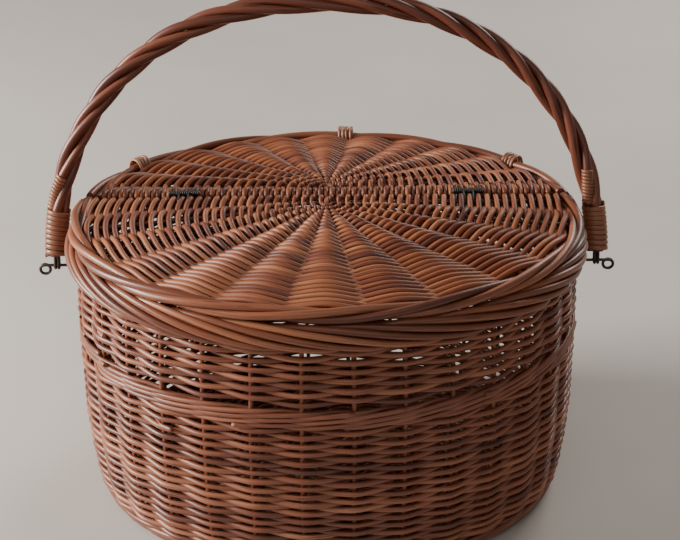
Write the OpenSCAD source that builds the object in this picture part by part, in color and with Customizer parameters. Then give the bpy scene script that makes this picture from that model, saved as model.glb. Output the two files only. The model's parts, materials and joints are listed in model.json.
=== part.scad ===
// Oval wicker basket with a lid in two halves and a swinging bail handle.
// The body stands on z = 0. X runs along its length and the user stands on the -Y side.

/* [Basket body] */
// Half length of the body's reference oval
body_half_length = 200; // [160:1:240]
// Half depth of the body's reference oval
body_half_depth = 160; // [140:1:190]
// Thickness of the woven wall
wall = 7; // [6:0.5:9]
// Height of the wale band's middle
wale_height = 152; // [110:1:170]
// Height of the wale band
wale_band_height = 20; // [12:1:24]
// Number of side stakes
stake_count = 32; // [24:1:36]
// Radius of a side stake
stake_radius = 2.4; // [1.5:0.1:2.8]
// Height of the middle of the rim border
rim_height = 222; // [214:1:226]
// Radius of a rim border rod
rim_rod_radius = 3.2; // [2.5:0.1:3.2]

/* [Base] */
// Height of the foot border
foot_height = 12; // [8:1:16]
// Width of the foot border
foot_width = 14; // [10:1:18]
// Number of long base sticks
long_stick_count = 3; // [3:1:5]
// Number of cross base sticks
cross_stick_count = 9; // [7:1:11]
// Radius of a base stick
base_stick_radius = 3; // [2:0.1:3.2]

/* [Lid] */
// Height of the lid's middle plane
lid_height = 240; // [240:1:250]
// Y of the line where the two lid halves meet
hinge_line_y = 34; // [20:1:50]
// Distance from the hinge line to each edge stick
edge_stick_offset = 4.4; // [4.2:0.1:5]
// Radius of an edge stick
edge_stick_radius = 3.2; // [2.4:0.1:3.3]
// Radius of the lid's plaited border
lid_border_radius = 6.5; // [5:0.5:6.5]
// Thickness of the lid's weave
lid_weave_thickness = 5.6; // [4:0.2:6]
// Number of radial sticks in each lid half
lid_stick_count = 11; // [9:1:12]
// Radius of a radial stick
lid_stick_radius = 1.8; // [1.2:0.1:2]

/* [Wire hinges] */
// Distance of each wire hinge from the middle
hinge_x = 116; // [80:1:130]
// Height of the hinge pins above the lid's middle plane
hinge_rise = 6.5; // [6:0.1:7]
// Radius of the hinge wire
hinge_wire_radius = 1.1; // [0.9:0.1:1.3]
// Length of each hinge pin
hinge_pin_length = 26; // [22:1:32]
// Radial running clearance of the wire joints
wire_clearance = 0.07; // [0.03:0.01:0.1]

/* [Cane bindings] */
// Places of the three cane bindings, in degrees around the oval
binding_angles = [38, 85, 142]; // [0:1:180]
// Width of a cane binding
binding_width = 12; // [8:1:16]
// Thickness of the cane
cane_thickness = 1.2; // [0.8:0.1:1.6]

/* [Handle] */
// Half width of the handle's arch at its pivots
arch_half_width = 222; // [222:1:228]
// Height of the handle's arch above its pivots
arch_height = 212; // [200:1:230]
// Roundness of the arch: 2 is an ellipse
arch_power = 2.25; // [2.2:0.05:2.6]
// Radius of each twisted strand
strand_radius = 4.15; // [3.5:0.05:4.15]
// Half turns that the strands make from end to end
strand_half_turns = 3; // [1:1:5]
// Y of the handle's pivots
pivot_y = 18; // [14:1:20]
// Height of the handle's pivots
pivot_height = 190; // [186:1:192]
// Backward lean of the handle as stored, in degrees
handle_lean = 18; // [15:1:22]
// Radius of the pivot wire
pivot_wire_radius = 1.25; // [1:0.05:1.5]
// Length of cane wrapping on each handle end
wrap_length = 38; // [30:1:42]

/* [Hidden] */

$fn = 32;
oval_steps = 48;
tube_sides = 8;
gap = 0.2;

rod_buff = [0.72, 0.47, 0.26];
rod_red = [0.55, 0.3, 0.17];
rod_dark = [0.42, 0.24, 0.15];
cane_pale = [0.82, 0.62, 0.38];
wire_dark = [0.16, 0.15, 0.15];

// The wall's outer surface, as [offset from the reference oval, height]
wale_bottom = wale_height - wale_band_height / 2;
wale_top = wale_height + wale_band_height / 2;
rim_bottom = rim_height - 3 * rim_rod_radius - gap;
lower_profile = [[-12, 1.5], [-7, 8], [-3.5, 18], [0, 36], [3, 80], [3, wale_bottom - gap]];
upper_profile = [[3, wale_top + gap], [2, wale_top + 20], [0, rim_bottom - gap]];
stake_line = [[-13, 9], [-6, 24], [-3, 46], [-1.5, 84], [-3.5, rim_bottom - 1]];
foot_outer_offset = -20;
base_offset = foot_outer_offset - foot_width - gap;
base_bottom = 5;
base_thickness = 7;
base_middle = base_bottom + base_thickness / 2;
rim_outer_offset = 8.5 - rim_rod_radius;
rim_inner_offset = rim_outer_offset - 2 * rim_rod_radius - 1;

lid_half_length = body_half_length - 1;
lid_half_depth = body_half_depth - 1;
lid_hub = [0, hinge_line_y, lid_height];
lid_inner = -lid_border_radius - gap;
lid_weave_edge = edge_stick_offset + edge_stick_radius + gap;
lid_border_gap = 3.5;

hinge_axis_z = lid_height + hinge_rise;
hinge_ring_inner = edge_stick_radius + 0.1;
hinge_ring_outer = hinge_ring_inner + 2 * hinge_wire_radius - 0.1;
hinge_sleeve_radius = 2.5;

sleeve_inner = 2 * strand_radius + 0.1;
sleeve_outer = sleeve_inner + 0.9;
leg_bottom = 8;
binding_length = 30;
binding_layer = 1;
eye_radius = 3.9;
eye_width = 6;
curl_radius = 4.25;
curl_drop = 2;

function unit(v) = v / norm(v);
function oval(offset, z, t) =
  [(body_half_length + offset) * cos(t), (body_half_depth + offset) * sin(t), z];
function lid_oval(offset, t) =
  [(lid_half_length + offset) * cos(t), (lid_half_depth + offset) * sin(t), lid_height];
// Parametric angle at which the lid's oval crosses a line of constant Y
function lid_angle(offset, y) = asin(y / (lid_half_depth + offset));

// Direction of a path at one of its points
function heading(path, i) = unit(path[min(i + 1, len(path) - 1)] - path[max(i - 1, 0)]);
// One ring of points around a path, square to it
function hoop(path, i, radius, side) =
  let (along = heading(path, i), across = unit(cross(along, side)), up = cross(across, along))
  [for (k = [0 : tube_sides - 1])
    path[i] + radius * (cos(360 * k / tube_sides) * across + sin(360 * k / tube_sides) * up)];
// Two triangles for one cell of a grid of points
function cell(a, b, c, d) = [[a, b, c], [a, c, d]];

// Solid ring around the oval: the outline is a list of [offset, height], anticlockwise
module oval_ring(outline) {
  m = len(outline);
  n = oval_steps;
  polyhedron(
    points = [for (i = [0 : n - 1], p = outline) oval(p[0], p[1], 360 * i / n)],
    faces = [for (i = [0 : n - 1], j = [0 : m - 1])
      let (near = i * m, far = ((i + 1) % n) * m, k = (j + 1) % m)
      each cell(near + j, far + j, far + k, near + k)],
    convexity = 4
  );
}

// Round rod along a path; side is a direction that is never along the path
module rod(path, radius, side) {
  n = len(path);
  m = tube_sides;
  polyhedron(
    points = [for (i = [0 : n - 1]) each hoop(path, i, radius, side)],
    faces = concat(
      [[for (k = [0 : m - 1]) k], [for (k = [m - 1 : -1 : 0]) (n - 1) * m + k]],
      [for (i = [0 : n - 2], k = [0 : m - 1])
        each cell(i * m + k, (i + 1) * m + k, (i + 1) * m + (k + 1) % m, i * m + (k + 1) % m)]
    ),
    convexity = 4
  );
}

// Sleeve around a path, open at both ends
module sleeve(path, outer, inner, side) {
  n = len(path);
  m = tube_sides;
  skin = n * m;
  polyhedron(
    points = concat(
      [for (i = [0 : n - 1]) each hoop(path, i, outer, side)],
      [for (i = [0 : n - 1]) each hoop(path, i, inner, side)]
    ),
    faces = [
      for (i = [0 : n - 2], k = [0 : m - 1]) let (a = i * m + k, b = i * m + (k + 1) % m)
        each concat(cell(a, a + m, b + m, b), cell(skin + b, skin + b + m, skin + a + m, skin + a)),
      for (k = [0 : m - 1]) let (b = (k + 1) % m, e = (n - 1) * m)
        each concat(cell(k, b, skin + b, skin + k), cell(e + b, e + k, skin + e + k, skin + e + b))
    ],
    convexity = 4
  );
}

// Straight round stick between two points
module stick(from, to, radius) {
  v = to - from;
  translate(from)
    rotate([0, acos(v[2] / norm(v)), atan2(v[1], v[0])])
      cylinder(h = norm(v), r = radius);
}

// Woven wall from an outer profile, one wall thickness deep
module woven_wall(profile) {
  inner = [for (i = [len(profile) - 1 : -1 : 0]) profile[i] - [wall, 0]];
  oval_ring(concat(profile, inner));
}

// Round rod all round the oval
module border_rod(offset, z) {
  oval_ring([for (k = [0 : tube_sides - 1])
    [offset + rim_rod_radius * cos(360 * k / tube_sides),
     z + rim_rod_radius * sin(360 * k / tube_sides)]]);
}

module flat_oval(offset) {
  polygon([for (i = [0 : oval_steps - 1])
    [(body_half_length + offset) * cos(360 * i / oval_steps),
     (body_half_depth + offset) * sin(360 * i / oval_steps)]]);
}

module foot_border() {
  color(rod_dark)
    linear_extrude(foot_height)
      difference() {
        flat_oval(foot_outer_offset);
        flat_oval(foot_outer_offset - foot_width);
      }
}

module base_weave() {
  color(rod_buff)
    translate([0, 0, base_bottom])
      linear_extrude(base_thickness)
        flat_oval(base_offset);
}

module base_long_sticks() {
  reach = body_half_length + base_offset - 12;
  color(rod_red)
    for (i = [0 : long_stick_count - 1])
      let (y = (i - (long_stick_count - 1) / 2) * 2.6 * base_stick_radius)
        stick([-reach, y, base_middle], [reach, y, base_middle], base_stick_radius);
}

module base_cross_sticks() {
  pitch = 2 * (body_half_length + base_offset) / (cross_stick_count + 3);
  color(rod_red)
    for (i = [0 : cross_stick_count - 1])
      let (
        x = (i - (cross_stick_count - 1) / 2) * pitch,
        share = x / (body_half_length + base_offset),
        y = (body_half_depth + base_offset) * sqrt(1 - share * share) - 8
      )
        stick([x, -y, base_middle], [x, y, base_middle], base_stick_radius);
}

module side_stakes() {
  color(rod_red)
    for (i = [0 : stake_count - 1])
      let (t = 360 * (i + 0.5) / stake_count)
        rod([for (p = stake_line) oval(p[0], p[1], t)], stake_radius, [-sin(t), cos(t), 0]);
}

module lower_side_weave() {
  color(rod_buff) woven_wall(lower_profile);
}

module wale_band() {
  bulge = 2;
  color(rod_dark)
    oval_ring([
      [3, wale_bottom], [3 + bulge, wale_bottom + 4], [3 + bulge, wale_top - 4], [3, wale_top],
      [3 - wall, wale_top], [3 - wall - bulge, wale_top - 4],
      [3 - wall - bulge, wale_bottom + 4], [3 - wall, wale_bottom]
    ]);
}

module upper_side_weave() {
  color(rod_buff) woven_wall(upper_profile);
}

module rim_border_outer() {
  color(rod_red)
    for (i = [-1 : 1])
      border_rod(rim_outer_offset, rim_height + i * (2 * rim_rod_radius + 0.1));
}

module rim_border_inner() {
  color(rod_dark)
    for (i = [-1 : 1])
      border_rod(rim_inner_offset, rim_height + i * (2 * rim_rod_radius + 0.1));
}

// Plaited border of a lid half, between two parametric angles
module lid_border(from, to) {
  steps = 40;
  rod(
    [for (i = [0 : steps]) lid_oval(0, from + (to - from) * i / steps)],
    lid_border_radius, [0, 0, 1]
  );
}

// Straight stick along the hinge line; half is 1 for the back and -1 for the front
module lid_edge_stick(half) {
  y = hinge_line_y + half * edge_stick_offset;
  reach = lid_half_length * sqrt(1 - pow(y / lid_half_depth, 2)) - lid_border_radius - 1.5;
  stick([-reach, y, lid_height], [reach, y, lid_height], edge_stick_radius);
}

// Radial sticks that fan out from the hub across a span of parametric angles
module lid_sticks(half, from, to) {
  hub = lid_hub + [0, half * lid_weave_edge, 0];
  for (i = [1 : lid_stick_count])
    let (
      tip = lid_oval(lid_inner - 2, from + (to - from) * i / (lid_stick_count + 1)),
      out = unit(tip - hub)
    )
      stick(hub + 26 * out, tip, lid_stick_radius);
}

module lid_weave(half, from, to) {
  steps = 40;
  translate([0, 0, lid_height - lid_weave_thickness / 2])
    linear_extrude(lid_weave_thickness)
      polygon([for (i = [0 : steps])
        let (p = lid_oval(lid_inner, from + (to - from) * i / steps)) [p[0], p[1]]]);
}

back_from = lid_angle(0, hinge_line_y + lid_border_gap);
back_to = 180 - back_from;
front_from = 180 - lid_angle(0, hinge_line_y - lid_border_gap);
front_to = 540 - front_from;
back_weave_from = lid_angle(lid_inner, hinge_line_y + lid_weave_edge);
front_weave_from = 180 - lid_angle(lid_inner, hinge_line_y - lid_weave_edge);

module back_lid_border() {
  color(rod_red) lid_border(back_from, back_to);
}

module back_lid_edge_stick() {
  color(rod_dark) lid_edge_stick(1);
}

module back_lid_sticks() {
  color(rod_red) lid_sticks(1, back_weave_from, 180 - back_weave_from);
}

module back_lid_weave() {
  color(rod_buff) lid_weave(1, back_weave_from, 180 - back_weave_from);
}

module front_lid_border() {
  color(rod_red) lid_border(front_from, front_to);
}

module front_lid_edge_stick() {
  color(rod_dark) lid_edge_stick(-1);
}

module front_lid_sticks() {
  color(rod_red) lid_sticks(-1, front_weave_from, 540 - front_weave_from);
}

module front_lid_weave() {
  color(rod_buff) lid_weave(-1, front_weave_from, 540 - front_weave_from);
}

// Slot shape with round ends, upright
module slot_shape(half_width, low, high) {
  translate([-half_width, low + half_width]) square([2 * half_width, high - low - 2 * half_width]);
  translate([0, low + half_width]) circle(r = half_width);
  translate([0, high - half_width]) circle(r = half_width);
}

// Cane bound round the rim border and the lid border together
module cane_binding(t) {
  inner = 8.3;
  low = rim_height - 3 * rim_rod_radius - 2.6;
  high = lid_height + lid_border_radius + 2.6;
  middle = oval(0.5, 0, t);
  out = [middle[0] / pow(body_half_length, 2), middle[1] / pow(body_half_depth, 2)];
  color(cane_pale)
    translate(middle)
      rotate([0, 0, atan2(out[1], out[0])])
        rotate([90, 0, 0])
          linear_extrude(binding_width, center = true)
            difference() {
              slot_shape(inner + cane_thickness, low - cane_thickness, high + cane_thickness);
              slot_shape(inner, low, high);
            }
}

module binding_right() { cane_binding(binding_angles[0]); }

module binding_centre() { cane_binding(binding_angles[1]); }

module binding_left() { cane_binding(binding_angles[2]); }

// Short drum or ring lying along X
module cross_ring(x, y, z, outer, inner, width) {
  translate([x, y, z])
    rotate([0, 90, 0])
      difference() {
        cylinder(h = width, r = outer, center = true);
        cylinder(h = width + 1, r = inner, center = true);
      }
}

// Wire ring round an edge stick, with a short link up to the hinge axis
module stick_ring(x, half, link_from) {
  y = hinge_line_y + half * edge_stick_offset;
  axis = [x, hinge_line_y, hinge_axis_z];
  down = unit([x, y, lid_height] - axis);
  reach = norm([0, edge_stick_offset, hinge_rise]) - hinge_ring_inner - 0.4;
  cross_ring(x, y, lid_height, hinge_ring_outer, hinge_ring_inner, 2 * hinge_wire_radius);
  stick(axis + link_from * down, axis + reach * down, hinge_wire_radius);
}

module hinge_pin(x) {
  end = hinge_pin_length / 2 - 2.5;
  color(wire_dark) {
    stick(
      [x - hinge_pin_length / 2, hinge_line_y, hinge_axis_z],
      [x + hinge_pin_length / 2, hinge_line_y, hinge_axis_z], hinge_wire_radius
    );
    stick_ring(x - end, 1, 0);
    stick_ring(x + end, 1, 0);
  }
}

module hinge_loop(x) {
  color(wire_dark) {
    cross_ring(x, hinge_line_y, hinge_axis_z, hinge_sleeve_radius,
      hinge_wire_radius + wire_clearance, 12);
    stick_ring(x - 4, -1, hinge_sleeve_radius - 0.6);
    stick_ring(x + 4, -1, hinge_sleeve_radius - 0.6);
  }
}

module hinge_pin_left() { hinge_pin(-hinge_x); }

module hinge_pin_right() { hinge_pin(hinge_x); }

module hinge_loop_left() { hinge_loop(-hinge_x); }

module hinge_loop_right() { hinge_loop(hinge_x); }

// Ring of bent wire in an upright plane along X, its middle a little below the straight wire
module curl(x) {
  translate([x, pivot_y, pivot_height - curl_drop])
    rotate([90, 0, 0])
      rotate_extrude()
        translate([curl_radius, 0])
          circle(r = pivot_wire_radius);
}

// Straight wire through the wall with a curl at each end; side is 1 on the right
module pivot_wire(side) {
  inner_curl = side * (arch_half_width - 36);
  outer_curl = side * (arch_half_width + 10);
  reach = side * sqrt(pow(curl_radius, 2) - pow(curl_drop, 2));
  color(wire_dark)
    union() {
      stick([inner_curl + reach, pivot_y, pivot_height], [outer_curl - reach, pivot_y, pivot_height],
        pivot_wire_radius);
      curl(inner_curl);
      curl(outer_curl);
    }
}

module pivot_wire_left() { pivot_wire(-1); }

module pivot_wire_right() { pivot_wire(1); }

// The handle is drawn upright about its pivots, then leaned back
module handle_place() {
  translate([0, pivot_y, pivot_height])
    rotate([-handle_lean, 0, 0])
      children();
}

// Point on the arch's centre line at t, 0 at the right pivot and 180 at the left
function arch(t) = [
  arch_half_width * sign(cos(t)) * pow(abs(cos(t)), 2 / arch_power), 0,
  arch_height * pow(sin(t), 2 / arch_power)
];
// Angle at which the arch reaches a height above its pivots
function arch_angle(height) = asin(pow(height / arch_height, arch_power / 2));
function arch_normal(t) = let (v = unit(arch(t + 0.3) - arch(t - 0.3))) [v[2], 0, -v[0]];
leg_angle = arch_angle(leg_bottom);
wrap_angle = arch_angle(leg_bottom + wrap_length);
binding_angle = arch_angle(leg_bottom + wrap_length + binding_length);
function twist(t) =
  180 * strand_half_turns * min(1, max(0, (t - wrap_angle) / (180 - 2 * wrap_angle)));

function strand_path(side, from, to, steps) = [
  for (i = [0 : steps]) let (t = from + (to - from) * i / steps)
    arch(t) + side * (strand_radius + 0.05)
      * (cos(twist(t)) * arch_normal(t) + sin(twist(t)) * [0, 1, 0])
];

module handle_strand_front() {
  color(rod_red)
    handle_place() rod(strand_path(1, leg_angle, 180 - leg_angle, 56), strand_radius, [0, 1, 0]);
}

module handle_strand_rear() {
  color(rod_dark)
    handle_place() rod(strand_path(-1, leg_angle, 180 - leg_angle, 56), strand_radius, [0, 1, 0]);
}

module handle_wrap(from, to) {
  steps = 6;
  color(cane_pale)
    handle_place()
      sleeve([for (i = [0 : steps]) arch(from + (to - from) * i / steps)],
        sleeve_outer, sleeve_inner / cos(180 / tube_sides), [0, 1, 0]);
}

module handle_wrap_left() { handle_wrap(180 - wrap_angle, 180 - leg_angle); }

module handle_wrap_right() { handle_wrap(leg_angle, wrap_angle); }

// Narrow strip of cane on one strand above the main wrapping
module handle_binding(side, from, to) {
  steps = 5;
  color(cane_pale)
    handle_place()
      sleeve(strand_path(side, from, to, steps), strand_radius + binding_layer,
        (strand_radius + 0.1) / cos(180 / tube_sides), [0, 1, 0]);
}

module handle_binding_left() { handle_binding(1, 180 - binding_angle, 179.5 - wrap_angle); }

module handle_binding_right() { handle_binding(-1, wrap_angle + 0.5, binding_angle); }

// Wire eye on the pivot wire, with two legs held inside the wrapped strands
module handle_eye(side) {
  color(wire_dark)
    handle_place()
      difference() {
        union() {
          cross_ring(side * arch_half_width, 0, 0, eye_radius,
            pivot_wire_radius + wire_clearance, eye_width);
          for (y = [-3.8, 3.8])
            stick([side * arch_half_width, y, 0], [side * arch_half_width, y, 18], 1.1);
        }
        translate([side * arch_half_width, 0, 0])
          rotate([0, 90, 0])
            cylinder(h = eye_width + 1, r = pivot_wire_radius + wire_clearance, center = true);
      }
}

module handle_eye_left() { handle_eye(-1); }

module handle_eye_right() { handle_eye(1); }

foot_border();
base_weave();
base_long_sticks();
base_cross_sticks();
side_stakes();
lower_side_weave();
wale_band();
upper_side_weave();
rim_border_outer();
rim_border_inner();
back_lid_border();
back_lid_edge_stick();
back_lid_sticks();
back_lid_weave();
binding_right();
binding_centre();
binding_left();
hinge_pin_left();
hinge_pin_right();
pivot_wire_left();
pivot_wire_right();
front_lid_border();
front_lid_edge_stick();
front_lid_sticks();
front_lid_weave();
hinge_loop_left();
hinge_loop_right();
handle_strand_front();
handle_strand_rear();
handle_wrap_left();
handle_wrap_right();
handle_binding_left();
handle_binding_right();
handle_eye_left();
handle_eye_right();
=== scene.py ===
"""Oval wicker basket: every willow rod, cane turn and wire is its own tube, laid where the CAD frame says."""

import json
import math

import bpy
import numpy as np
from mathutils import Matrix, Vector


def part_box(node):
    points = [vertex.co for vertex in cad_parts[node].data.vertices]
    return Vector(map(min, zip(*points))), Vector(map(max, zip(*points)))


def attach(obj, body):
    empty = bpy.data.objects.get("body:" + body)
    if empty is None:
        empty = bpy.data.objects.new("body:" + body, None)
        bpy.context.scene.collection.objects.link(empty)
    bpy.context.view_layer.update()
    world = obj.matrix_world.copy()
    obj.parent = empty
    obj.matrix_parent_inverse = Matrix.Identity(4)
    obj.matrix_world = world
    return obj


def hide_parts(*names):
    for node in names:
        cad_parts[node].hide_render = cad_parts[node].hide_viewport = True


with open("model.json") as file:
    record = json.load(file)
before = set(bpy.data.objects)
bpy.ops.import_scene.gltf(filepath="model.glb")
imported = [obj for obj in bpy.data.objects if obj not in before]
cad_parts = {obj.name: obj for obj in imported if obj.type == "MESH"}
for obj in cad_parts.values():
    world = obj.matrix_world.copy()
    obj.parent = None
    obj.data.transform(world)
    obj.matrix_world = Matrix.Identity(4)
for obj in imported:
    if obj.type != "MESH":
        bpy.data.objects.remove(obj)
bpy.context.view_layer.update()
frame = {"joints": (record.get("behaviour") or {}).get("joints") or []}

MM = 0.001
TAU = 2 * math.pi
UP = (0, 0, 1)
rng = np.random.default_rng(11)

# ---------------------------------------------------------------- sizes taken from the frame
joints = {joint["name"]: joint for joint in frame["joints"]}
HINGE_Y, HINGE_Z = joints["flap_hinge"]["pos_m"][1:]
PIVOT_Y, PIVOT_Z = joints["handle_swing"]["pos_m"][1:]


def middle(node_name):
    """Middle of a CAD node's box."""
    low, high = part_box(node_name)
    return (low + high) / 2


# the wall bulges this far outside the reference oval, as in the CAD model
BELLY = 3 * MM
HALF_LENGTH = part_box("lower_side_weave")[1].x - BELLY
HALF_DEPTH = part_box("lower_side_weave")[1].y - BELLY
WALE_LOW, WALE_HIGH = (corner.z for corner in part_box("wale_band"))
RIM_LOW, RIM_HIGH = (corner.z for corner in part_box("rim_border_outer"))
RIM_Z = (RIM_LOW + RIM_HIGH) / 2
LID_Z = middle("front_lid_border").z
LID_BORDER_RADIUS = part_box("front_lid_border")[1].z - LID_Z
LID_HALF_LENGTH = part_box("front_lid_border")[1].x - LID_BORDER_RADIUS
LID_HALF_DEPTH = HALF_DEPTH - (HALF_LENGTH - LID_HALF_LENGTH)
BASE_Z = middle("base_weave").z
FOOT_HALF_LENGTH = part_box("foot_border")[1].x
ARCH_HALF_WIDTH = middle("handle_eye_right").x
HINGE_X = middle("hinge_pin_right").x

STAKES = 32
SPACING = TAU / STAKES
# outer surface of the wall: heights and offsets from the reference oval, in millimetres
WALL_HEIGHTS = [1.5, 8, 18, 36, 80, 142, 162, 182, 212]
WALL_OFFSETS = [-12, -7, -3.5, 0, 3, 3, 3, 2, 0]
WEAVE_DEPTH = 4.6 * MM


# ---------------------------------------------------------------- meshes of rods
def unit(vectors):
    """Rows of vectors, each at length 1."""
    return vectors / (np.linalg.norm(vectors, axis=-1, keepdims=True) + 1e-12)


class Rods:
    """Collects tubes and makes one mesh of them, with what the materials need on each point."""

    def __init__(self, sides=8):
        self.sides = sides
        self.points, self.loops, self.sizes = [], [], []
        self.tones, self.grain = [], []
        self.count = 0

    def add(self, path, side, radius, tone=None, closed=False, flat=1.0):
        """One rod along a path. side is a direction or one per point; flat squeezes the rod that way."""
        path = np.asarray(path, float)
        rings, sides = len(path), self.sides
        if closed:
            along = unit(np.roll(path, -1, 0) - np.roll(path, 1, 0))
        else:
            along = unit(np.gradient(path, axis=0))
        across = unit(np.cross(along, np.broadcast_to(side, path.shape)))
        up = np.cross(across, along)
        radius = np.broadcast_to(radius, (rings,))[:, None, None]
        angle = np.arange(sides) * TAU / sides
        circle = np.cos(angle)[None, :, None] * across[:, None]
        circle = circle + flat * np.sin(angle)[None, :, None] * up[:, None]
        self.points.append((path[:, None] + radius * circle).reshape(-1, 3))
        walked = np.concatenate([[0], np.cumsum(np.linalg.norm(np.diff(path, axis=0), axis=1))])
        tone = rng.random(3) if tone is None else np.asarray(tone, float)
        # each rod starts at its own place in the grain's pattern
        start = rng.random() * 9
        grain = np.empty((rings, sides, 3))
        grain[..., 0] = walked[:, None] + start
        grain[..., 1] = np.cos(angle)
        grain[..., 2] = np.sin(angle)
        self.grain.append(grain.reshape(-1, 3))
        self.tones.append(np.tile(tone, (rings * sides, 1)))
        ring = np.arange(rings if closed else rings - 1)[:, None]
        corner = np.arange(sides)[None, :]
        near, far = ring * sides, (ring + 1) % rings * sides
        after = (corner + 1) % sides
        quads = np.stack([near + corner, far + corner, far + after, near + after], -1).reshape(-1, 4)
        self.loops.append((quads + self.count).reshape(-1))
        self.sizes.append(np.full(len(quads), 4))
        if not closed:
            self.loops.append(np.arange(sides) + self.count)
            self.loops.append(np.arange(sides)[::-1] + self.count + (rings - 1) * sides)
            self.sizes.append(np.full(2, sides))
        self.count += rings * sides

    def piece(self, name, body, slot, material, nodes):
        """Makes the mesh object, hangs it on the body it rides on and hides the CAD nodes it stands for."""
        sizes = np.concatenate(self.sizes)
        loops = np.concatenate(self.loops).astype(np.int32)
        mesh = bpy.data.meshes.new(name)
        mesh.vertices.add(self.count)
        mesh.vertices.foreach_set("co", np.concatenate(self.points).astype(np.float32).ravel())
        mesh.loops.add(len(loops))
        mesh.loops.foreach_set("vertex_index", loops)
        mesh.polygons.add(len(sizes))
        mesh.polygons.foreach_set("loop_start", (np.cumsum(sizes) - sizes).astype(np.int32))
        mesh.polygons.foreach_set("use_smooth", sizes == 4)
        mesh.update(calc_edges=True)
        mesh.validate()
        for label, rows in (("tone", self.tones), ("grain", self.grain)):
            data = mesh.attributes.new(label, "FLOAT_VECTOR", "POINT").data
            data.foreach_set("vector", np.concatenate(rows).astype(np.float32).ravel())
        mesh.materials.append(material)
        thing = bpy.data.objects.new(name, mesh)
        bpy.context.scene.collection.objects.link(thing)
        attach(thing, body)
        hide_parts(*nodes)


def wander(count, size, reach=3):
    """Smooth random wave over a whole turn, used for the unevenness of hand work."""
    turn = np.linspace(0, TAU, count)
    wave = np.zeros(count)
    for order in range(1, reach + 1):
        wave += rng.normal() * np.sin(order * turn + rng.random() * TAU) / order
    return size * wave


def softened(wave, share):
    """A sine wave with straighter flanks; the nearer share is to 1, the sharper its crests."""
    return np.arcsin(share * wave) / math.asin(share)


def oval(turn, half_length, half_depth, height):
    """Points of an oval at parametric angles."""
    x, y, z = np.broadcast_arrays(half_length * np.cos(turn), half_depth * np.sin(turn), height)
    return np.stack([x, y, z], -1)


# ---------------------------------------------------------------- materials
WHITE, BLACK = (1, 1, 1), (0, 0, 0)
# how fast each pattern changes along a rod, per metre, and round it
STREAK_SCALE = (16, 1.6, 1.6)
PATCH_SCALE = (7, 0.35, 0.35)
FIBRE_SCALE = (60, 6, 6)
SCAR_SCALE = (26, 0.9, 0.9)
RUST_SCALE = (180, 1.2, 1.2)
STREAK_COLOUR = (0.5, 0.42, 0.38)
SCAR_COLOUR = (0.33, 0.24, 0.2)


def node(tree, kind, **values):
    """Adds a shader node and sets its attributes."""
    made = tree.nodes.new("ShaderNode" + kind)
    for name, value in values.items():
        setattr(made, name, value)
    return made


def math_node(tree, operation, *values):
    """Adds a Math node; an input is a socket or a number."""
    made = node(tree, "Math", operation=operation)
    for socket, value in zip(made.inputs, values):
        if isinstance(value, (int, float)):
            socket.default_value = value
        else:
            tree.links.new(value, socket)
    return made.outputs[0]


def ramp(tree, factor, stops):
    """Colour ramp from (position, colour) stops."""
    made = node(tree, "ValToRGB")
    while len(made.color_ramp.elements) < len(stops):
        made.color_ramp.elements.new(0.5)
    for element, (position, colour) in zip(made.color_ramp.elements, stops):
        element.position = position
        element.color = (*colour, 1)
    tree.links.new(factor, made.inputs[0])
    return made.outputs[0]


def srgb(red, green, blue):
    """Linear colour from 0..255 display values."""
    return tuple((value / 255) ** 2.2 for value in (red, green, blue))


def new_material(name):
    """Empty material with a Principled shader; returns (material, tree, shader)."""
    material = bpy.data.materials.new(name)
    material.use_nodes = True
    tree = material.node_tree
    return material, tree, tree.nodes["Principled BSDF"]


def noise(tree, vector, scale, detail=3.0, roughness=0.55):
    """Noise value from a vector socket."""
    made = node(tree, "TexNoise")
    made.inputs["Scale"].default_value = scale
    made.inputs["Detail"].default_value = detail
    made.inputs["Roughness"].default_value = roughness
    tree.links.new(vector, made.inputs["Vector"])
    return made.outputs["Fac"]


def scaled(tree, vector, factors):
    """A vector socket multiplied by three factors."""
    made = node(tree, "VectorMath", operation="MULTIPLY")
    made.inputs[1].default_value = factors
    tree.links.new(vector, made.inputs[0])
    return made.outputs[0]


def multiplied(tree, factor, colour, second):
    """A colour socket multiplied by a second colour; factor and second are sockets or values."""
    made = node(tree, "Mix", data_type="RGBA", blend_type="MULTIPLY")
    # a Mix node's colour sockets are inputs 6 and 7 and output 2
    for socket, value in ((made.inputs[0], factor), (made.inputs[6], colour), (made.inputs[7], second)):
        if isinstance(value, (int, float)):
            socket.default_value = value
        elif isinstance(value, tuple):
            socket.default_value = (*value, 1)
        else:
            tree.links.new(value, socket)
    return made.outputs[2]


def relief(tree, shader, height, strength, distance):
    """Bump on a shader from a height socket."""
    bump = node(tree, "Bump")
    bump.inputs["Strength"].default_value = strength
    bump.inputs["Distance"].default_value = distance
    tree.links.new(height, bump.inputs["Height"])
    tree.links.new(bump.outputs[0], shader.inputs["Normal"])


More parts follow.
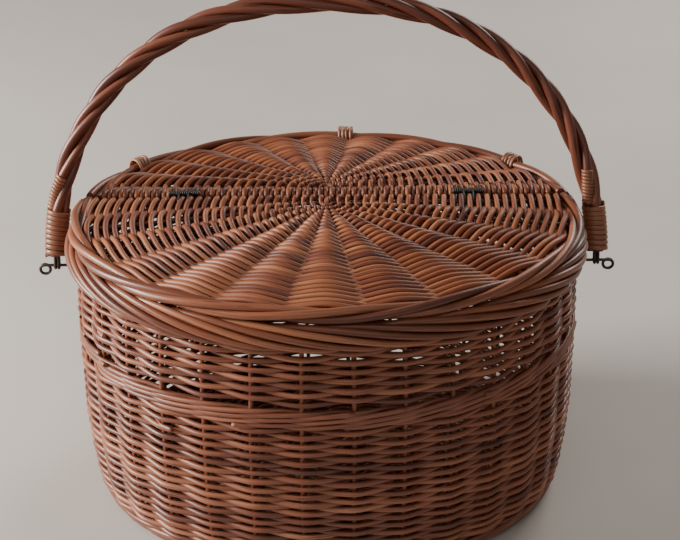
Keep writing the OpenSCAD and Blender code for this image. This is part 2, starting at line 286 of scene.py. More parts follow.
def willow(name, shades, gloss=0.44, coat=0.22, spots=0.6):
    """Varnished willow rod: a shade for each rod, streaks along it, leaf scars and a fine grain."""
    material, tree, shader = new_material(name)
    tone = node(tree, "Attribute", attribute_name="tone").outputs["Vector"]
    grain = node(tree, "Attribute", attribute_name="grain").outputs["Vector"]
    parts = node(tree, "SeparateXYZ")
    tree.links.new(tone, parts.inputs[0])
    streaks = noise(tree, scaled(tree, grain, STREAK_SCALE), 1.0, 5.0, 0.65)
    patches = noise(tree, scaled(tree, grain, PATCH_SCALE), 1.0)
    fibres = noise(tree, scaled(tree, grain, FIBRE_SCALE), 1.0)
    patch_shade = math_node(tree, "MULTIPLY_ADD", patches, 0.8, -0.4)
    rod_shade = math_node(tree, "MULTIPLY_ADD", parts.outputs[0], 0.62, 0.2)
    shade = math_node(tree, "ADD", rod_shade, patch_shade)
    stops = [(i / (len(shades) - 1), srgb(*display)) for i, display in enumerate(shades)]
    colour = ramp(tree, shade, stops)
    streak = ramp(tree, streaks, [(0.3, STREAK_COLOUR), (0.52, WHITE)])
    colour = multiplied(tree, 0.75, colour, streak)
    scars = node(tree, "TexVoronoi", feature="F1")
    scars.inputs["Scale"].default_value = 1.0
    tree.links.new(scaled(tree, grain, SCAR_SCALE), scars.inputs["Vector"])
    scar = ramp(tree, scars.outputs["Distance"], [(0.16, WHITE), (0.24, BLACK)])
    colour = multiplied(tree, math_node(tree, "MULTIPLY", scar, spots), colour, SCAR_COLOUR)
    tree.links.new(colour, shader.inputs["Base Color"])
    rough = math_node(tree, "MULTIPLY_ADD", fibres, 0.3, gloss - 0.15)
    tree.links.new(rough, shader.inputs["Roughness"])
    coarse = math_node(tree, "MULTIPLY", streaks, 0.7)
    fine = math_node(tree, "MULTIPLY", fibres, 0.3)
    relief(tree, shader, math_node(tree, "ADD", coarse, fine), 0.35, 0.4 * MM)
    shader.inputs["Coat Weight"].default_value = coat
    shader.inputs["Coat Roughness"].default_value = 0.33
    return material


def iron(name):
    """Dark annealed wire with a little brown rust."""
    material, tree, shader = new_material(name)
    grain = node(tree, "Attribute", attribute_name="grain").outputs["Vector"]
    rust = noise(tree, scaled(tree, grain, RUST_SCALE), 1.0, 5.0)
    bare, dull, rusty = (0.035, 0.034, 0.036), (0.09, 0.075, 0.065), (0.13, 0.07, 0.045)
    colour = ramp(tree, rust, [(0.35, bare), (0.6, dull), (0.75, rusty)])
    tree.links.new(colour, shader.inputs["Base Color"])
    rough = ramp(tree, rust, [(0.3, (0.38,) * 3), (0.8, (0.75,) * 3)])
    tree.links.new(rough, shader.inputs["Roughness"])
    shader.inputs["Metallic"].default_value = 0.8
    relief(tree, shader, rust, 0.3, 0.2 * MM)
    return material


WEAVER = willow("willow_weavers", [(70, 38, 29), (108, 62, 46), (134, 79, 58), (152, 95, 70), (176, 122, 96)])
STAKE = willow("willow_stakes", [(92, 50, 34), (124, 70, 48), (150, 92, 62)])
LID_SHADES = [(74, 39, 29), (112, 61, 43), (138, 79, 53), (158, 96, 62), (172, 114, 84)]
LID_WEAVER = willow("willow_lid", LID_SHADES, gloss=0.52, coat=0.1)
BORDER = willow("willow_borders", [(80, 44, 32), (118, 66, 46), (144, 86, 60), (164, 106, 74)], gloss=0.4)
HANDLE = willow("willow_handle", [(82, 43, 32), (112, 60, 43), (138, 80, 58)], gloss=0.4, spots=0.8)
CANE = willow("split_cane", [(112, 66, 46), (146, 94, 68), (176, 126, 96)], gloss=0.42, spots=0.2)
IRON = iron("iron_wire")


# ---------------------------------------------------------------- the wall
STAKE_RADIUS = 1.95 * MM
STAKE_FOOT = 9 * MM
WEAVER_RADIUS = 2.15 * MM
WALE_RADIUS = 1.95 * MM
ROW_PITCH = 3.85 * MM
STEPS_PER_STAKE = 7
# a weaver bends round a stake by this share of both radii, because both are pressed a little flat
BEND_SHARE = 0.82
# how far past its first and last place a weaver's ends lie, in gaps between stakes
FIRST_END, LAST_END = 0.2, 0.8
# the first rounds of the wall are waled, which sets the stakes upright
UPSETT_LOW = 4.4 * MM
UPSETT_TOP = 14 * MM
WALE_ROUNDS = 3
WALE_REACH = 3.3 * MM
LOOSE_ENDS = 14


def wall_offset(height):
    """Offset of the weave's middle from the reference oval at a height."""
    outer = np.interp(np.asarray(height) / MM, WALL_HEIGHTS, WALL_OFFSETS) * MM
    return outer - WEAVE_DEPTH


def around(turn, height, out):
    """Points on the wall at parametric angles, with out added to the weave's middle."""
    offset = wall_offset(height) + out
    return oval(turn, HALF_LENGTH + offset, HALF_DEPTH + offset, height)


def outward(turn):
    """Unit vector square to the oval at parametric angles."""
    turn = np.asarray(turn)
    return unit(np.stack([np.cos(turn) / HALF_LENGTH, np.sin(turn) / HALF_DEPTH, np.zeros_like(turn)], -1))


def row_heights(low, high):
    """Heights of rows laid at an even pitch along the wall's curve."""
    heights = np.linspace(low, high, 400)
    offsets = wall_offset(heights)
    walked = np.concatenate([[0], np.cumsum(np.hypot(np.diff(heights), np.diff(offsets)))])
    rows = int(round(walked[-1] / ROW_PITCH))
    return np.interp((np.arange(rows) + 0.5) * walked[-1] / rows, walked, heights)


def randing(rods, heights, first=0):
    """Rows that pass in front of one stake and behind the next; each row is two rods laid end to end."""
    reach = BEND_SHARE * (STAKE_RADIUS + WEAVER_RADIUS)
    for row, height in enumerate(heights, first):
        sign = 1 if row % 2 else -1
        cuts = np.sort(rng.choice(STAKES // 2, 2, replace=False)) * 2 + (0 if sign > 0 else 1)
        ends = [cuts[0], cuts[1], cuts[0] + STAKES]
        for start, stop in zip(ends[:-1], ends[1:]):
            # stake n stands at (n + 0.5) * SPACING, and each rod begins and ends behind one
            low, high = start + FIRST_END, stop + LAST_END
            count = int((high - low) * STEPS_PER_STAKE)
            place = np.linspace(low, high, count)
            wave = -sign * softened(np.sin(place * math.pi), 0.93)
            tuck = np.clip(1 - np.minimum(place - low, high - place) / 0.8, 0, 1) * 1.1 * MM
            radius = WEAVER_RADIUS * (1 + rng.normal() * 0.07) * np.linspace(1.08, 0.9, count)
            rise = wander(count, 0.25 * MM, 9)
            rise = rise + 0.35 * MM * np.sin(place * math.pi + rng.random() * TAU)
            path = around(place * SPACING, height + rise, reach * wave - tuck)
            rods.add(path, outward(place * SPACING), radius)


def waling(rods, low, high, begin, radius):
    """Three rods worked round together in a rising spiral, each in front of two stakes and behind one."""
    lengths, overlap = 4, 4
    for strand in range(3):
        start = begin + strand
        place = np.arange(start, start + WALE_ROUNDS * STAKES, 1 / STEPS_PER_STAKE)
        phase = TAU * ((place - strand) / 3 % 1 - 0.35)
        out = WALE_REACH * np.tanh(1.5 * (np.cos(phase) + 0.3))
        height = np.linspace(low, high, len(place)) + 0.9 * radius * np.sin(phase)
        height = height + wander(len(place), 0.15 * MM, 9)
        for part in np.array_split(np.arange(len(place)), lengths):
            rod = slice(max(part[0] - overlap, 0), part[-1] + 1)
            path = around(place[rod] * SPACING, height[rod], out[rod])
            rods.add(path, outward(place[rod] * SPACING), radius * rng.uniform(0.93, 1.07))


def make_wall():
    """Stakes, the waling at the foot and both bands of randing."""
    stakes = Rods()
    heights = np.linspace(STAKE_FOOT, RIM_LOW + 3 * MM, 40)
    for i in range(STAKES):
        turn = (i + 0.5) * SPACING + wander(len(heights), 0.0022, 2)
        stakes.add(around(turn, heights, 0), outward(turn), STAKE_RADIUS * rng.uniform(0.92, 1.06))
    stakes.piece("stakes", "root", "stake_rod", STAKE, ["side_stakes"])
    lower = row_heights(UPSETT_TOP, WALE_LOW - 0.5 * MM)
    upper = row_heights(WALE_HIGH + 0.5 * MM, RIM_LOW + 8 * MM)
    rods = Rods()
    waling(rods, UPSETT_LOW, UPSETT_TOP - 1 * MM, 7.3, WEAVER_RADIUS)
    randing(rods, lower)
    rods.piece("lower_randing", "root", "weaver_rod", WEAVER, ["lower_side_weave"])
    rods = Rods()
    randing(rods, upper, len(lower))
    rods.piece("upper_randing", "root", "weaver_rod", WEAVER, ["upper_side_weave"])


def loose_ends(rods):
    """Cut ends of weavers that stand a little out of the wall, mostly near the wale."""
    steps = 9
    out = np.interp(np.linspace(0, 1, steps), [0, 0.45, 1], [-2.5 * MM, 3.2 * MM, 5.6 * MM])
    for _ in range(LOOSE_ENDS):
        stake = rng.integers(STAKES) + 0.5
        height = rng.normal((WALE_LOW + WALE_HIGH) / 2, 14 * MM)
        place = stake + rng.choice([-1, 1]) * np.linspace(-0.28, 0.34, steps)
        rise = np.linspace(0, rng.uniform(1, 5) * MM, steps)
        path = around(place * SPACING, height + rise, out)
        rods.add(path, outward(place * SPACING), WEAVER_RADIUS * np.linspace(1.0, 0.85, steps))


def make_wale():
    """The belt of waling round the middle of the wall, and the loose ends near it."""
    rods = Rods()
    inset = 3.4 * MM
    waling(rods, WALE_LOW + inset, WALE_HIGH - inset, 0.52 * STAKES, WALE_RADIUS)
    loose_ends(rods)
    rods.piece("wale_rods", "root", "wale_rod", WEAVER, ["wale_band"])


def make_rim():
    """The stakes' tops bent down along the rim, each over four stakes from the inside to the outside."""
    rods = Rods()
    span, steps = 4.7, 64
    radius = 2.75 * MM
    centre, bow = 2.1 * MM, 5.2 * MM
    crest = RIM_HIGH - RIM_Z - radius + 2.2 * MM
    # the rod rises from the wall before its run along the rim, and its end is tucked in
    rising, rise_depth = 0.09, 12 * MM
    ending, tuck_depth = 0.1, 3.5 * MM
    for i in range(STAKES):
        share = np.linspace(-rising, 1, steps)
        run = np.clip(share, 0, 1)
        tilt = math.radians(150) - math.radians(225) * run ** 0.92
        out = centre + bow * np.cos(tilt) - tuck_depth * np.clip((share - 1 + ending) / ending, 0, 1)
        height = RIM_Z + crest * np.sin(tilt) - rise_depth * np.clip(-share / rising, 0, 1)
        turn = (i + 0.5 + span * np.clip(share, -0.02, 1)) * SPACING
        height = height + wander(steps, 0.18 * MM, 4)
        taper = np.linspace(1.08, 0.88, steps) * rng.uniform(0.94, 1.06)
        path = oval(turn, HALF_LENGTH + out, HALF_DEPTH + out, height)
        rods.add(path, outward(turn), radius * taper)
    # the stakes' lower runs fill the middle of the border
    turn = np.linspace(0, TAU, 201)[:-1]
    core = oval(turn, HALF_LENGTH + centre, HALF_DEPTH + centre, RIM_Z + 0.8 * MM)
    rods.add(core, outward(turn), 8.4 * MM, (0.1, 0.5, 0.5), closed=True, flat=0.4)
    rods.piece("rim_rods", "root", "border_rod", BORDER, ["rim_border_outer", "rim_border_inner"])


def make_foot():
    """Three rods twisted together round the foot, which the basket rests on."""
    rods = Rods()
    radius, swell = 3.0 * MM, 4.2 * MM
    twists = 36
    inset = HALF_LENGTH - FOOT_HALF_LENGTH
    turn = np.linspace(0, TAU, 361)[:-1]
    for strand in range(3):
        phase = twists * turn + strand * TAU / 3
        out = swell * np.cos(phase) - inset - radius - swell
        height = radius + swell + swell * np.sin(phase)
        rods.add(oval(turn, HALF_LENGTH + out, HALF_DEPTH + out, height), outward(turn), radius, closed=True)
    rods.piece("foot_rods", "root", "border_rod", BORDER, ["foot_border"])


def make_base():
    """Sticks and the paired weave of the oval base."""
    low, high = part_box("base_weave")
    stick_radius = 2.2 * MM
    end_inset, gap = 14 * MM, 6 * MM
    sticks = Rods()
    for y in (-gap, 0, gap):
        centre = (0, y, BASE_Z + 0.4 * MM)
        line = [(low.x + end_inset, y, BASE_Z), centre, (high.x - end_inset, y, BASE_Z)]
        sticks.add(line, UP, stick_radius)
    focus = HALF_LENGTH - HALF_DEPTH
    tip_inset, root_y = 2 * MM, 9 * MM
    for i in range(STAKES):
        turn = (i + 0.5) * SPACING
        tip = Vector(oval(turn, high.x - tip_inset, high.y - tip_inset, BASE_Z))
        root_x = max(-focus, min(focus, tip.x * 0.6))
        root = Vector((root_x, math.copysign(root_y, tip.y), BASE_Z))
        sticks.add([root, root.lerp(tip, 0.5), tip], UP, stick_radius * 0.9)
    sticks.piece("base_sticks", "root", "stake_rod", STAKE, ["base_long_sticks", "base_cross_sticks"])
    rods = Rods(6)
    rows, radius = 17, 1.9 * MM
    first_inset, hub = 3.4 * MM, 12 * MM
    turn = np.linspace(0, TAU, STAKES * 6 + 1)[:-1]
    phase = turn * STAKES / 2
    for row in range(rows):
        inset = first_inset + row * (high.y - hub) / rows
        for sign in (1, -1):
            swing = sign * 1.7 * MM * np.cos(phase) - inset
            height = BASE_Z + sign * 2.6 * MM * np.sin(phase)
            rods.add(oval(turn, high.x + swing, high.y + swing, height), UP, radius, closed=True)
    rods.piece("base_pairing", "root", "weaver_rod", WEAVER, ["base_weave"])


# ---------------------------------------------------------------- the lid
EDGE_OFFSET = 7.3 * MM
EDGE_RADIUS = 1.9 * MM
LID_ROD = 2.3 * MM
THINNEST_LID_ROD = 0.9 * MM
LID_STICK = 1.7 * MM
LID_STICKS = 11
STEPS_PER_LID_STICK = 9
HUB_INSET = 9 * MM
LID_RISE = 1.5 * MM
BORDER_ROD = 3.15 * MM
BORDER_SWELL = 3.5 * MM
BORDER_INSET = 2.5 * MM
LONGEST_EDGE_TURN = 24 * MM
FRONT_ROWS, BACK_ROWS = 27, 21


class LidHalf:
    """One half of the lid: its hub on the hinge line and the oval just inside its border."""

    def __init__(self, half, rows):
        self.half, self.rows = half, rows
        self.edge_y = HINGE_Y + half * EDGE_OFFSET
        self.hub = np.array([0, self.edge_y])
        self.half_length = LID_HALF_LENGTH - LID_BORDER_RADIUS + 1.5 * MM
        self.half_depth = LID_HALF_DEPTH - LID_BORDER_RADIUS + 1.5 * MM
        self.begin, self.end = self.arc(self.edge_y, self.half_depth)

    def arc(self, y, half_depth):
        """The two angles between which an oval lies on this half's side of a line at y."""
        first = math.asin(y / half_depth)
        return (first, math.pi - first) if self.half > 0 else (math.pi - first, TAU + first)

    def spot(self, share, stick):
        """Plan points at a share of the way from hub to border; stick runs from 0 to LID_STICKS + 1."""
        stick = np.asarray(stick, float)
        turn = self.begin + (self.end - self.begin) * stick / (LID_STICKS + 1)
        rim = np.stack([self.half_length * np.cos(turn), self.half_depth * np.sin(turn)], -1)
        # the sticks meet a little way in from the edge, so the turns round it stay long at the hub
        inset = HUB_INSET * np.clip(np.minimum(stick, LID_STICKS + 1 - stick), 0, 1)
        start = np.stack([np.zeros_like(inset), self.edge_y + self.half * inset], -1)
        return start + np.asarray(share)[..., None] * (rim - start)

    def dome(self, plan):
        """Slight rise of the lid towards its middle."""
        x, y = plan[..., 0] / self.half_length, plan[..., 1] / self.half_depth
        return LID_RISE * np.clip(1 - x ** 2 - y ** 2, 0, 1)


def row_radius(half, share, stick, near_edge):
    """Radius along a row: thinner where rows crowd together and near the hub, but not at the edge stick."""
    pitch = np.linalg.norm(half.spot(np.ones(len(stick)), stick) - half.hub, axis=1) / half.rows
    crowding = np.maximum(min(1, 0.45 + 2.6 * share), near_edge)
    radius = np.clip(0.46 * pitch, 0, LID_ROD) * crowding * rng.uniform(0.93, 1.05)
    return np.maximum(radius, THINNEST_LID_ROD)


def pairing_row(half, rods, share):
    """Two rods that cross between the sticks, joined round the edge stick at both ends."""
    stick = np.linspace(0, LID_STICKS + 1, (LID_STICKS + 1) * STEPS_PER_LID_STICK + 1)
    near_edge = np.clip(1 - np.minimum(stick, LID_STICKS + 1 - stick), 0, 1)
    radius = row_radius(half, share, stick, near_edge)
    reach = LID_STICK + radius + near_edge * (EDGE_RADIUS - LID_STICK)
    reach = reach * (1 - 0.13 * near_edge)
    over_under = 1.15 * reach * softened(np.cos((stick - 1) * math.pi), 0.8)
    in_out = 0.85 * radius * np.sin((stick - 1) * math.pi)
    shake = wander(len(stick), 0.0014, 9)
    sides = []
    for sign in (1, -1):
        plan = half.spot(share + shake, stick)
        plan = plan + sign * in_out[:, None] * unit(plan - half.hub)
        height = LID_Z + half.dome(plan) + sign * over_under + wander(len(stick), 0.12 * MM, 8)
        sides.append(np.column_stack([plan, height]))
    under, over = sides
    turn = np.linspace(0, math.pi, 9)[1:-1]
    arcs = []
    for end in (-1, 0):
        ring = EDGE_RADIUS + radius[end]
        y = half.edge_y - half.half * ring * np.sin(turn)
        z = LID_Z - ring * np.cos(turn)
        arcs.append(np.column_stack([np.full(len(turn), under[end][0]), y, z]))
    tones = rng.random((2, 3))
    # the joint between the two rods lies three sticks in from the edge
    cut = STEPS_PER_LID_STICK * 3
    path = np.concatenate([under, arcs[0], over[::-1][:cut]])
    thickness = np.concatenate([radius, np.full(len(turn), radius[-1]), radius[::-1][:cut]])
    rods.add(path, UP, thickness, tones[0])
    path = np.concatenate([over[::-1][cut - 1:], arcs[1][::-1], under[:2]])
    thickness = np.concatenate([radius[::-1][cut - 1:], np.full(len(turn), radius[0]), radius[:2]])
    rods.add(path, UP, thickness, tones[1])


def edge_turn(half, rods, x, reach):
    """Short turn round the edge stick, with both ends tucked into the weave."""
    radius = LID_ROD * 0.85
    turn = np.linspace(0, math.pi, 9)
    ring = EDGE_RADIUS + radius
    y = np.concatenate([[reach, reach * 0.5], -ring * np.sin(turn), [reach * 0.4, reach * 0.8, reach]])
    z = np.concatenate([[-1 * MM, -ring], -ring * np.cos(turn), [ring * 1.05, ring * 0.75, 0.0]])
    x = x + wander(len(y), 0.2 * MM, 2)
    rods.add(np.column_stack([x, half.edge_y + half.half * y, LID_Z + z]), (1, 0, 0), radius)


def edge_fill(half, rods):
    """Turns that fill the edge between the rows: all along the back half, and at the hub of both."""
    edge_turn(half, rods, 0.0, HUB_INSET)
    if half.half < 0:
        return
    for row in range(half.rows - 1):
        share = (row + 1.05) / (half.rows + 0.1)
        for end, inner in ((0, 0.72), (LID_STICKS + 1, LID_STICKS + 0.28)):
            reach = abs(half.spot(share, inner)[1] - half.edge_y)
            edge_turn(half, rods, half.spot(share, end)[0], min(reach, LONGEST_EDGE_TURN))


def lid_border(half, name, body, node_name):
    """Three rods twisted together round the outside of a lid half."""
    rods = Rods(10)
    steps = 150
    begin, end = half.arc(HINGE_Y + half.half * BORDER_INSET, LID_HALF_DEPTH)
    turn = np.linspace(begin, end, steps)
    twists = (end - begin) * 0.85
    radius = BORDER_ROD * np.linspace(1.06, 0.92, steps)
    for strand in range(3):
        phase = twists * TAU * np.linspace(0, 1, steps) + strand * TAU / 3
        phase = phase + wander(steps, 0.12, 3)
        out = BORDER_SWELL * np.cos(phase)
        height = LID_Z + BORDER_SWELL * np.sin(phase) + wander(steps, 0.15 * MM, 4)
        path = oval(turn, LID_HALF_LENGTH + out, LID_HALF_DEPTH + out, height)
        rods.add(path, outward(turn), radius)
    rods.piece(name, body, "border_rod", BORDER, [node_name])


def make_lid(half, word, body):
    """Border, edge stick, radial sticks and woven rows of one lid half."""
    weave = Rods()
    for row in range(half.rows):
        pairing_row(half, weave, (row + 0.55) / (half.rows + 0.1))
    edge_fill(half, weave)
    weave.piece(word + "_lid_rows", body, "weaver_rod", LID_WEAVER, [word + "_lid_weave"])
    edge = Rods()
    reach = half.half_length - 3 * MM
    edge.add([(x, half.edge_y, LID_Z) for x in np.linspace(-reach, reach, 12)], UP, EDGE_RADIUS)
    edge.piece(word + "_lid_edge", body, "stake_rod", STAKE, [word + "_lid_edge_stick"])
    sticks = Rods()
    for stick in range(1, LID_STICKS + 1):
        plan = half.spot(np.linspace(0.05, 1.0, 14), stick)
        sticks.add(np.column_stack([plan, LID_Z + half.dome(plan)]), UP, LID_STICK)
    sticks.piece(word + "_lid_spokes", body, "stake_rod", STAKE, [word + "_lid_sticks"])
    lid_border(half, word + "_lid_twist", body, word + "_lid_border")


def make_bindings():
    """Four turns of cane round the lid border and the rim border at three places."""
    turns, pitch = 4, 3.1 * MM
    half_width = 8.9 * MM
    cane, flat = 1.0 * MM, 1.55
    angle = np.linspace(0, TAU, 41)[:-1]
    c, s = np.cos(angle), np.sin(angle)
    for word in ("right", "centre", "left"):
        rods = Rods()
        name = "binding_" + word
        low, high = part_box(name)
        spot = middle(name)
        turn = math.atan2(spot.y / HALF_DEPTH, spot.x / HALF_LENGTH)
        out = outward(turn)
        along = np.array([-out[1], out[0], 0])
        centre = oval(turn, HALF_LENGTH, HALF_DEPTH, spot.z) + out * 0.6 * MM
        half_height = (high.z - low.z) / 2 - 1.2 * MM
        radial = half_width * np.copysign(np.abs(c) ** 0.75, c)
        rise = half_height * np.copysign(np.abs(s) ** 0.8, s)
        for i in range(turns):
            shift = (i - (turns - 1) / 2) * pitch + rng.uniform(-0.8, 0.8) * MM * s
            path = centre + radial[:, None] * out + shift[:, None] * along + rise[:, None] * np.array(UP)
            rods.add(path, along, cane, closed=True, flat=flat)
        rods.piece(name + "_cane", "root", "cane", CANE, [name])


# ---------------------------------------------------------------- wire hinges and pivots
HINGE_WIRE = 0.75 * MM
HINGE_PIN = 1.0 * MM
HINGE_REACH = 13 * MM
COIL_RADIUS = 1.9 * MM
# coils as (start, end, turns) along the axis, and the places of the rings, from the hinge's middle
FIXED_COILS = [(-12 * MM, -6.6 * MM, 3.4), (6.6 * MM, 12 * MM, 3.4)]
FIXED_RINGS = (-9.6 * MM, 9.6 * MM)
MOVING_COIL = (-5.8 * MM, 5.8 * MM, 7.2)
MOVING_RINGS = (-4.2 * MM, 3.4 * MM)
PIVOT_WIRE = 1.25 * MM
PIVOT_CURL = 4.1 * MM


def hinge_coil(rods, x, low, high, turns):
    """Turns of wire round the hinge axis."""
    angle = np.linspace(0, turns * TAU, int(turns * 14) + 1)
    y = HINGE_Y - COIL_RADIUS * np.sin(angle)
    z = HINGE_Z + COIL_RADIUS * np.cos(angle)
    rods.add(np.column_stack([np.linspace(x + low, x + high, len(angle)), y, z]), (1, 0, 0), HINGE_WIRE)


def hinge_ring(rods, x, half):
    """Wire ring round an edge stick and its weave, rising to the hinge axis."""
    y, z = HINGE_Y + half * EDGE_OFFSET, LID_Z
    ring = EDGE_RADIUS + 2 * LID_ROD + 0.8 * MM
    first = math.atan2(HINGE_Z - z, HINGE_Y - y)
    share = np.linspace(0.12, 0.98, 22)
    angle = first - half * share * TAU
    path = np.column_stack([x + 0.8 * MM * share, y + ring * np.cos(angle), z + ring * np.sin(angle)])
    rods.add(np.concatenate([[(x, HINGE_Y, HINGE_Z + 1.2 * MM)], path]), (1, 0, 0), HINGE_WIRE)


def make_hinges():
    """Coiled iron wire on the hinge line: the ends grip the fixed half and the middle the flap."""
    for word, x in (("left", -HINGE_X), ("right", HINGE_X)):
        fixed, moving = Rods(), Rods()
        pin = [(x + shift, HINGE_Y, HINGE_Z) for shift in np.linspace(-HINGE_REACH, HINGE_REACH, 8)]
        fixed.add(pin, UP, HINGE_PIN)
        for low, high, turns in FIXED_COILS:
            hinge_coil(fixed, x, low, high, turns)
        for shift in FIXED_RINGS:
            hinge_ring(fixed, x + shift, 1)
        hinge_coil(moving, x, *MOVING_COIL)
        for shift in MOVING_RINGS:
            hinge_ring(moving, x + shift, -1)
        fixed.piece("hinge_wire_" + word, "root", "iron_wire", IRON, ["hinge_pin_" + word])
        moving.piece("hinge_coil_" + word, "front_flap", "iron_wire", IRON, ["hinge_loop_" + word])


def pivot_curl(x, direction):
    """Ring that a pivot wire ends in, bent down from x."""
    angle = np.linspace(0, 1.12 * TAU, 30)
    y = PIVOT_Y + 0.25 * MM * angle
    z = PIVOT_Z - PIVOT_CURL + PIVOT_CURL * np.cos(angle)
    return np.column_stack([x + direction * PIVOT_CURL * np.sin(angle), y, z])


def make_pivots():
    """Wires through the rim that the handle turns on, each ending in a curl."""
    for word, side in (("left", -1), ("right", 1)):
        low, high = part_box("pivot_wire_" + word)
        outer, inner = (low.x, high.x) if side < 0 else (high.x, low.x)
        tip = outer - side * (PIVOT_CURL + PIVOT_WIRE)
        start = inner + side * (PIVOT_CURL + PIVOT_WIRE)
        straight = [(x, PIVOT_Y, PIVOT_Z) for x in np.linspace(start, tip, 12)[1:-1]]
        path = np.concatenate([pivot_curl(start, -side)[::-1], straight, pivot_curl(tip, side)])
        rods = Rods(10)
        rods.add(path, (0, 1, 0), PIVOT_WIRE)
        rods.piece("pivot_rod_" + word, "root", "iron_wire", IRON, ["pivot_wire_" + word])


# ---------------------------------------------------------------- the handle
HANDLE_LEAN = math.radians(18)
HANDLE_SIDE = (0, math.cos(HANDLE_LEAN), -math.sin(HANDLE_LEAN))
ARCH_HEIGHT = 212 * MM
ARCH_POWER = 2.25
LEG_BOTTOM, WRAP_TOP, BINDING_TOP = 8 * MM, 46 * MM, 76 * MM
HANDLE_TURNS = 4.2
HANDLE_ROD = 3.8 * MM
# distance of the rods from the arch's line, inside the wrapping and along the open arch
BUNDLE_RADIUS, TWIST_RADIUS = 4.7 * MM, 5.2 * MM
# places of the four rods round the arch's line, two to a strand
ROD_ANGLES = (0.4, 1.85, math.pi + 0.4, math.pi + 1.85)


def arch(turn):
    """Centre line of the handle before it leans, from the right pivot at 0 to the left one at pi."""
    c, s = np.cos(turn), np.clip(np.sin(turn), 0, 1)
    x = ARCH_HALF_WIDTH * np.sign(c) * np.abs(c) ** (2 / ARCH_POWER)
    return np.stack([x, np.zeros_like(x), ARCH_HEIGHT * s ** (2 / ARCH_POWER)], -1)


def arch_turn(height):
    """Where the arch reaches a height above its pivots."""
    return math.asin((height / ARCH_HEIGHT) ** (ARCH_POWER / 2))


def arch_normal(turn):
    """Unit vector in the arch's plane, pointing away from its middle."""
    step = 0.004
    along = unit(arch(turn + step) - arch(turn - step))
    return np.stack([along[..., 2], np.zeros_like(along[..., 0]), -along[..., 0]], -1)


def turned(vectors):
    """Directions moved with the handle's lean."""
    x, y, z = np.moveaxis(np.asarray(vectors, float), -1, 0)
    c, s = math.cos(HANDLE_LEAN), math.sin(HANDLE_LEAN)
    return np.stack([x, y * c + z * s, z * c - y * s], -1)


def leaned(points):
    """Moves points from the upright arch to the handle's stored place."""
    return turned(points) + (0, PIVOT_Y, PIVOT_Z)


def handle_rod(index, steps=220):
    """Path of one of the four handle rods, twisted along the arch."""
    first, begin = arch_turn(LEG_BOTTOM), arch_turn(WRAP_TOP)
    turn = np.linspace(first, math.pi - first, steps)
    share = np.clip((turn - begin) / (math.pi - 2 * begin), 0, 1)
    angle = share * TAU * HANDLE_TURNS + ROD_ANGLES[index]
    above_wrap = np.clip(np.minimum(share, 1 - share) / 0.04, 0, 1)
    swell = BUNDLE_RADIUS + (TWIST_RADIUS - BUNDLE_RADIUS) * above_wrap
    out = np.cos(angle)[:, None] * arch_normal(turn) + np.sin(angle)[:, None] * np.array([0, 1, 0])
    return arch(turn) + swell[:, None] * out


def wound(path, radius, turns, steps):
    """Helix round a path that lies near the arch's plane, with the outward direction at each point."""
    share = np.linspace(0, 1, steps)
    walked = np.linspace(0, 1, len(path))
    centre = np.stack([np.interp(share, walked, path[:, k]) for k in range(3)], -1)
    along = unit(np.gradient(centre, axis=0))
    across = unit(np.cross(along, (0, 1, 0)))
    up = np.cross(across, along)
    angle = share * turns * TAU
    out = np.cos(angle)[:, None] * across + np.sin(angle)[:, None] * up
    return centre + radius * out, out


def handle_strands():
    """The two strands, of two rods each; the rods' thick ends lie at opposite ends."""
    strands = [Rods(12), Rods(12)]
    for index in range(4):
        path = handle_rod(index)
        taper = np.linspace(1.06, 0.92, len(path)) if index % 2 else np.linspace(0.92, 1.06, len(path))
        path = path + 0.5 * np.stack([wander(len(path), 0.35 * MM, 5) for _ in range(3)], -1)
        strands[index // 2].add(leaned(path), HANDLE_SIDE, HANDLE_ROD * taper)
    strands[0].piece("handle_strand_a", "handle", "handle_rod", HANDLE, ["handle_strand_front"])
    strands[1].piece("handle_strand_b", "handle", "handle_rod", HANDLE, ["handle_strand_rear"])


def handle_wrapping(word, side):
    """Flat cane wound round all four rods at one end."""
    rods = Rods()
    turn = np.linspace(arch_turn(LEG_BOTTOM), arch_turn(WRAP_TOP), 30)
    path, out = wound(arch(turn if side > 0 else math.pi - turn), 9.0 * MM, 9.5, 234)
    rods.add(leaned(path), turned(out), 2.0 * MM, flat=0.42)
    rods.piece("handle_wrapping_" + word, "handle", "cane", CANE, ["handle_wrap_" + word])


def handle_lashing(word, side):
    """Narrow cane wound round one rod above the wrapping."""
    rods = Rods()
    strand = handle_rod(2 if side > 0 else 3, 400)
    height = strand[:, 2]
    chosen = strand[(height > WRAP_TOP) & (height < BINDING_TOP) & (side * strand[:, 0] > 0)]
    path, out = wound(chosen, HANDLE_ROD + 0.5 * MM, 10.5, 220)
    rods.add(leaned(path), turned(out), 1.45 * MM, flat=0.5)
    rods.piece("handle_lashing_" + word, "handle", "cane", CANE, ["handle_binding_" + word])


def handle_eye(word, side):
    """Two wire loops round the pivot wire, with their legs running up among the rods."""
    rods = Rods(10)
    wire, ring = 1.15 * MM, 2.55 * MM
    knee, top, splay = 5 * MM, 16 * MM, 0.9 * MM
    angle = np.linspace(-0.25 * TAU, 0.25 * TAU, 16)
    for shift in (-1.35 * MM, 1.35 * MM):
        x = side * ARCH_HALF_WIDTH + shift
        top_x = side * ARCH_HALF_WIDTH + shift * 0.6
        path = [(top_x, -ring - splay, top), (x, -ring, knee)]
        path += [(x, ring * math.sin(a), -ring * math.cos(a)) for a in angle]
        path += [(x, ring, knee), (top_x, ring + splay, top)]
        rods.add(leaned(path), (1, 0, 0), wire)
    rods.piece("handle_wire_eye_" + word, "handle", "iron_wire", IRON, ["handle_eye_" + word])


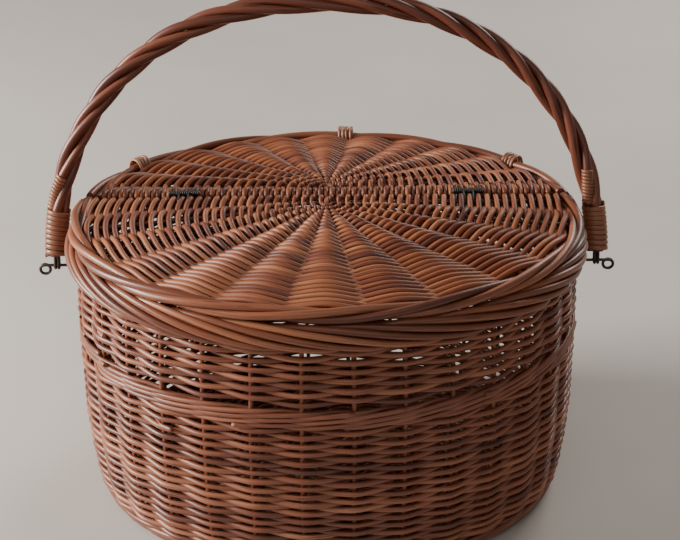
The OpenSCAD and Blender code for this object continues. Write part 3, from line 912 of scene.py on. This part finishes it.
def make_handle():
    """Four long rods in two strands, bound with cane at both ends, on wire eyes."""
    handle_strands()
    for word, side in (("right", 1), ("left", -1)):
        handle_wrapping(word, side)
        handle_lashing(word, side)
        handle_eye(word, side)


# ---------------------------------------------------------------- floor, light and camera
FLOOR_SHADES = [(0.3, (0.52, 0.49, 0.45)), (0.7, (0.58, 0.55, 0.51))]
WORLD_COLOUR, WORLD_STRENGTH = (0.93, 0.9, 0.86, 1), 0.22
AIM = Vector((0, 0, 0.2))
# each lamp: name, place, size, power, colour
LAMPS = [
    ("window_left", (-1.9, 0.0, 0.8), 0.8, 92, (1.0, 0.95, 0.9)),
    ("window_back", (1.1, 1.6, 1.3), 1.0, 24, (1.0, 0.93, 0.88)),
    ("room_fill", (0.3, -1.8, 2.0), 2.0, 9, (1.0, 0.9, 0.8)),
]


def make_floor():
    """Plain pale floor."""
    material, tree, shader = new_material("pale_floor")
    place = node(tree, "TexCoord")
    speckle = noise(tree, place.outputs["Object"], 3.0, 4.0)
    tree.links.new(ramp(tree, speckle, FLOOR_SHADES), shader.inputs["Base Color"])
    shader.inputs["Roughness"].default_value = 0.7
    bpy.ops.mesh.primitive_plane_add(size=30)
    floor = bpy.context.object
    floor.name = "floor"
    floor.data.materials.append(material)


def make_light():
    """Soft light from the left and from behind, with a little from the room."""
    world = bpy.data.worlds.new("studio")
    bpy.context.scene.world = world
    world.use_nodes = True
    background = world.node_tree.nodes["Background"]
    background.inputs["Color"].default_value = WORLD_COLOUR
    background.inputs["Strength"].default_value = WORLD_STRENGTH
    for name, place, size, power, tint in LAMPS:
        lamp = bpy.data.lights.new(name, "AREA")
        lamp.size = size
        lamp.energy = power
        lamp.color = tint
        thing = bpy.data.objects.new(name, lamp)
        thing.location = place
        thing.rotation_euler = (AIM - Vector(place)).to_track_quat("-Z", "Y").to_euler()
        bpy.context.scene.collection.objects.link(thing)


def make_camera():
    """Long lens in front of the basket, looking down on it."""
    distance, across, height = 1.2074, 0.0130, 0.5936
    pitch, roll, yaw = math.radians(28.04), math.radians(-0.36), math.radians(-0.46)
    camera = bpy.data.cameras.new("camera")
    camera.sensor_width = 36
    camera.lens = 88.9
    camera.shift_x, camera.shift_y = -0.0044, 0.0029
    thing = bpy.data.objects.new("camera", camera)
    spin = Matrix.Rotation(yaw, 4, "Z")
    place = Matrix.Translation((0, 0, LID_Z)) @ spin @ Matrix.Translation((across, -distance, height))
    thing.matrix_world = place @ Matrix.Rotation(math.pi / 2 - pitch, 4, "X") @ Matrix.Rotation(roll, 4, "Z")
    bpy.context.scene.collection.objects.link(thing)
    bpy.context.scene.camera = thing


make_camera()
make_wall()
make_wale()
make_rim()
make_foot()
make_base()
make_lid(LidHalf(-1, FRONT_ROWS), "front", "front_flap")
make_lid(LidHalf(1, BACK_ROWS), "back", "root")
make_bindings()
make_hinges()
make_pivots()
make_handle()
make_floor()
make_light()
